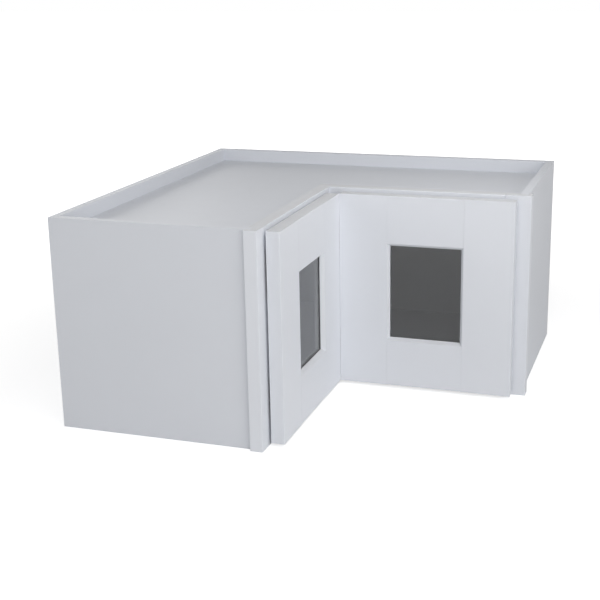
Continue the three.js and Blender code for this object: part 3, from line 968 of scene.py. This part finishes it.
def brad_places(node, wing):
    """Places of the brads along a bead, on the face that looks into the cabinet."""
    low, high = (np.array(corner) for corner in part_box(node))
    spot = (low + high) / 2
    if wing == "left":
        across, outward = 0, (-1, 0, 0)
        spot[across] = low[across]
    else:
        across, outward = 1, (0, 1, 0)
        spot[across] = high[across]
    run = 2 if node.endswith(("left_bead", "right_bead")) else 1 - across
    places = []
    for share in BRAD_SHARES:
        brad = spot.copy()
        brad[run] = low[run] + share * (high[run] - low[run])
        places.append((brad, outward))
    return places


# ---- Stage ----

# Half the floor's width, and the distances between which the white added to it grows.
FLOOR_REACH = 12.0
NEAR_FLOOR, FAR_FLOOR = 0.5, 1.5
# Millimetres, as Blender has it.
SENSOR_WIDTH = 36.0
LAMP_TARGET = (0.05, -0.1, 0.15)
# Name, position, width and power in watts of each soft lamp.
LAMPS = (
    ("right_light", (2.4, -1.6, 1.0), 1.5, 18.5),
    ("front_light", (0.6, -1.5, 0.8), 0.8, 5.5),
    ("left_light", (-1.2, -1.3, 0.9), 0.8, 3.5),
    ("top_light", (0.6, -0.3, 1.5), 0.5, 2.2),
    ("corner_light", (0.28, -0.1, 0.65), 0.2, 0.4),
    ("back_light", (-1.6, 1.8, 0.7), 1.2, 12.0),
)


def seen_directly(tree):
    """1 for the camera's rays and those that glass and metal send on, else 0.

    A ray that has already met a matt surface gives 0, so that the white lights nothing.
    """
    path = tree.nodes.new("ShaderNodeLightPath").outputs
    sent_on = arithmetic(tree, "MAXIMUM", path["Is Glossy Ray"], path["Is Transmission Ray"])
    seen = arithmetic(tree, "MAXIMUM", path["Is Camera Ray"], sent_on)
    unlit = arithmetic(tree, "LESS_THAN", path["Diffuse Depth"], 0.5)
    return arithmetic(tree, "MULTIPLY", seen, unlit)


def floor_material(stage):
    """The finish of the plain pale floor.

    The camera, glass and metal see it with white added, little near the cabinet and more far
    off, so that it looks pale but still takes the cabinet's shadow.
    """
    material, tree, shader = new_material("pale_floor")
    place = {"Vector": object_coordinates(tree)}
    distance = add_node(tree, "ShaderNodeVectorMath", place, operation="LENGTH")
    growth = {
        "Value": distance.outputs["Value"],
        "From Min": NEAR_FLOOR,
        "From Max": FAR_FLOOR,
        "To Min": stage.near_white,
        "To Max": stage.far_white,
    }
    white = add_node(tree, "ShaderNodeMapRange", growth, interpolation_type="SMOOTHSTEP")
    finish = {
        "Base Color": (*stage.floor_colour, 1),
        "Roughness": 1,
        "Specular IOR Level": 0,
        "Emission Color": (1, 1, 1, 1),
        "Emission Strength": arithmetic(
            tree, "MULTIPLY", seen_directly(tree), white.outputs["Result"]
        ),
    }
    set_inputs(tree, shader, finish)
    return material


def lay_floor(stage):
    """A large level floor on which the cabinet stands."""
    mesh = bpy.data.meshes.new("floor")
    signs = ((-1, -1), (1, -1), (1, 1), (-1, 1))
    corners = [(x * FLOOR_REACH, y * FLOOR_REACH, 0) for x, y in signs]
    mesh.from_pydata(corners, [], [(0, 1, 2, 3)])
    mesh.materials.append(floor_material(stage))
    floor = bpy.data.objects.new("floor", mesh)
    bpy.context.scene.collection.objects.link(floor)


def hang_lamp(name, position, width, power):
    """A square soft light that faces the cabinet."""
    light = bpy.data.lights.new(name, "AREA")
    light.shape = "SQUARE"
    light.size = width
    light.energy = power
    lamp = bpy.data.objects.new(name, light)
    lamp.location = position
    aim = Vector(LAMP_TARGET) - Vector(position)
    lamp.rotation_euler = aim.to_track_quat("-Z", "Y").to_euler()
    lamp.visible_camera = False
    bpy.context.scene.collection.objects.link(lamp)


def light_room(strength):
    """Even light from all round, in a room that camera, glass and metal see as white."""
    world = bpy.data.worlds.new("room")
    world.use_nodes = True
    tree = world.node_tree
    level = scaled(tree, seen_directly(tree), strength, 1)
    set_inputs(tree, tree.nodes["Background"], {"Color": (1, 1, 1, 1), "Strength": level})
    bpy.context.scene.world = world


def place_camera(stage):
    """The camera that took the reference view.

    The back axis points from the object to the camera; right is level before the roll.
    """
    camera = bpy.data.cameras.new("camera")
    camera.sensor_width = SENSOR_WIDTH
    camera.lens = stage.focal_length
    camera.shift_x, camera.shift_y = stage.lens_shift
    azimuth, elevation = stage.camera_azimuth, stage.camera_elevation
    back = Vector(
        (
            math.sin(azimuth) * math.cos(elevation),
            -math.cos(azimuth) * math.cos(elevation),
            math.sin(elevation),
        )
    )
    right = Vector((math.cos(azimuth), math.sin(azimuth), 0))
    up = back.cross(right)
    turn = Matrix((right, up, back)).transposed().to_4x4()
    roll = Matrix.Rotation(stage.camera_roll, 4, "Z")
    stand = bpy.data.objects.new("camera", camera)
    stand.matrix_world = Matrix.Translation(stage.camera_position) @ turn @ roll
    bpy.context.scene.collection.objects.link(stand)
    bpy.context.scene.camera = stand


# ---- Operators ----


class CABINET_OT_paint_case(Operator):
    """Paint the end panels, backs, top, bottom and hanging rails"""

    bl_idname = "cabinet.paint_case"
    bl_label = "Paint Case"

    def execute(self, context):
        paint = context.scene.cabinet_paint
        grain = {
            "left_end_panel": "z",
            "right_end_panel": "z",
            "left_back_panel": "y",
            "rear_back_panel": "x",
            "top_panel": "x",
            "bottom_panel": "x",
            "left_hanging_rail": "y",
            "rear_hanging_rail": "x",
        }
        for node, axis in grain.items():
            dress(node, paint_material("case", axis, paint))
        return {"FINISHED"}


class CABINET_OT_paint_face_frame(Operator):
    """Paint the stiles and rails of the face frame"""

    bl_idname = "cabinet.paint_face_frame"
    bl_label = "Paint Face Frame"

    def execute(self, context):
        paint = context.scene.cabinet_paint
        for wing, run in zip(WINGS, ("y", "x")):
            for part, axis in (("stile", "z"), ("top_rail", run), ("bottom_rail", run)):
                dress(f"{wing}_{part}", paint_material("frame", axis, paint))
        return {"FINISHED"}


class CABINET_OT_paint_doors(Operator):
    """Paint the stiles, rails and glazing beads of both doors"""

    bl_idname = "cabinet.paint_doors"
    bl_label = "Paint Doors"

    def execute(self, context):
        paint = context.scene.cabinet_paint
        for wing, run in zip(WINGS, ("y", "x")):
            pieces = {
                "outer_stile": "z",
                "inner_stile": "z",
                "left_bead": "z",
                "right_bead": "z",
                "top_rail": run,
                "bottom_rail": run,
                "lower_bead": run,
                "upper_bead": run,
            }
            for piece, axis in pieces.items():
                dress(f"{wing}_door_{piece}", paint_material("door", axis, paint))
        return {"FINISHED"}


class CABINET_OT_glaze_doors(Operator):
    """Finish the smoked panes and their gaskets"""

    bl_idname = "cabinet.glaze_doors"
    bl_label = "Glaze Doors"

    def execute(self, context):
        glass = context.scene.cabinet_glass
        pane = glass_material(glass)
        rubber = gasket_material(glass)
        for wing in WINGS:
            dress(f"{wing}_door_glass", pane)
            dress(f"{wing}_door_gasket", rubber)
        return {"FINISHED"}


class CABINET_OT_plate_hinges(Operator):
    """Finish the hinges in nickel and their pins in ground steel"""

    bl_idname = "cabinet.plate_hinges"
    bl_label = "Plate Hinges"

    def execute(self, context):
        hardware = context.scene.cabinet_hardware
        nickel = metal_material("nickel_plating", hardware.nickel_colour, NICKEL_ROUGHNESS, "z")
        steel = metal_material("ground_steel", hardware.steel_colour, STEEL_ROUGHNESS, "x")
        for level in LEVELS:
            for part in ("bracket", "swing_link", "outer_link", "cup"):
                dress(f"{level}_hinge_{part}", nickel)
            for wing in WINGS:
                dress(f"{level}_corner_hinge_{wing}_leaf", nickel)
            for pin in ("hinge_frame_pin", "hinge_elbow_pin", "hinge_cup_pin", "corner_hinge_pin"):
                dress(f"{level}_{pin}", steel)
        return {"FINISHED"}


class CABINET_OT_fit_bumpers(Operator):
    """Finish the clear bumpers on the right door"""

    bl_idname = "cabinet.fit_bumpers"
    bl_label = "Fit Bumpers"

    def execute(self, context):
        plastic = bumper_material(context.scene.cabinet_hardware.bumper_colour)
        for level in LEVELS:
            dress(f"{level}_bumper", plastic)
        return {"FINISHED"}


class CABINET_OT_drive_screws(Operator):
    """Set the screw heads on brackets, cups and corner hinge leaves"""

    bl_idname = "cabinet.drive_screws"
    bl_label = "Drive Screws"

    def execute(self, context):
        hardware = context.scene.cabinet_hardware
        zinc = metal_material("zinc_screws", hardware.zinc_colour, ZINC_ROUGHNESS, "y")
        radius, height = hardware.screw_head_radius, hardware.screw_head_height
        shape = (radius, height, hardware.screw_rings, SCREW_SIDES, CROSS_DEPTH_SHARE * height)
        for level in LEVELS:
            for name, body, places in screw_places(level):
                heads = [head_surface(place, *shape) for place in places]
                heads_object(f"{level}_{name}", body, heads, zinc)
        return {"FINISHED"}


class CABINET_OT_pin_beads(Operator):
    """Set the small brads that hold the glazing beads"""

    bl_idname = "cabinet.pin_beads"
    bl_label = "Pin Beads"

    def execute(self, context):
        hardware = context.scene.cabinet_hardware
        steel = metal_material("brad_steel", hardware.steel_colour, BRAD_ROUGHNESS, "z")
        shape = (hardware.brad_radius, hardware.brad_height, BRAD_RINGS, BRAD_SIDES, 0)
        for wing in WINGS:
            places = []
            for side in ("left", "right", "lower", "upper"):
                places += brad_places(f"{wing}_door_{side}_bead", wing)
            heads = [head_surface(place, *shape) for place in places]
            heads_object(f"{wing}_door_brads", f"{wing}_door", heads, steel)
        return {"FINISHED"}


class CABINET_OT_set_stage(Operator):
    """Lay the floor, hang the lights and set up the camera"""

    bl_idname = "cabinet.set_stage"
    bl_label = "Set Stage"

    def execute(self, context):
        stage = context.scene.cabinet_stage
        lay_floor(stage)
        light_room(stage.room_light)
        for name, position, width, power in LAMPS:
            hang_lamp(name, position, width, power * stage.lamp_level)
        place_camera(stage)
        context.scene.view_settings.view_transform = "Standard"
        return {"FINISHED"}


STEPS = (
    CABINET_OT_paint_case,
    CABINET_OT_paint_face_frame,
    CABINET_OT_paint_doors,
    CABINET_OT_glaze_doors,
    CABINET_OT_plate_hinges,
    CABINET_OT_fit_bumpers,
    CABINET_OT_drive_screws,
    CABINET_OT_pin_beads,
    CABINET_OT_set_stage,
)


class CABINET_PT_sidebar(Panel):
    """Lists the cabinet's settings and steps"""

    bl_idname = "CABINET_PT_sidebar"
    bl_label = "Corner Wall Cabinet"
    bl_space_type = "VIEW_3D"
    bl_region_type = "UI"
    bl_category = "Cabinet"

    def draw(self, context):
        for attribute, settings in SETTINGS.items():
            box = self.layout.box()
            for name in settings.__annotations__:
                box.prop(getattr(context.scene, attribute), name)
        for step in STEPS:
            self.layout.operator(step.bl_idname)


CLASSES = (*SETTINGS.values(), *STEPS, CABINET_PT_sidebar)


def register():
    for cls in CLASSES:
        bpy.utils.register_class(cls)
    for attribute, settings in SETTINGS.items():
        setattr(bpy.types.Scene, attribute, PointerProperty(type=settings))


def unregister():
    for attribute in SETTINGS:
        delattr(bpy.types.Scene, attribute)
    for cls in reversed(CLASSES):
        bpy.utils.unregister_class(cls)


def main():
    """Builds the whole scene in order."""
    register()
    for step in STEPS:
        prefix, name = step.bl_idname.split(".")
        getattr(getattr(bpy.ops, prefix), name)()


if __name__ == "__main__":
    main()
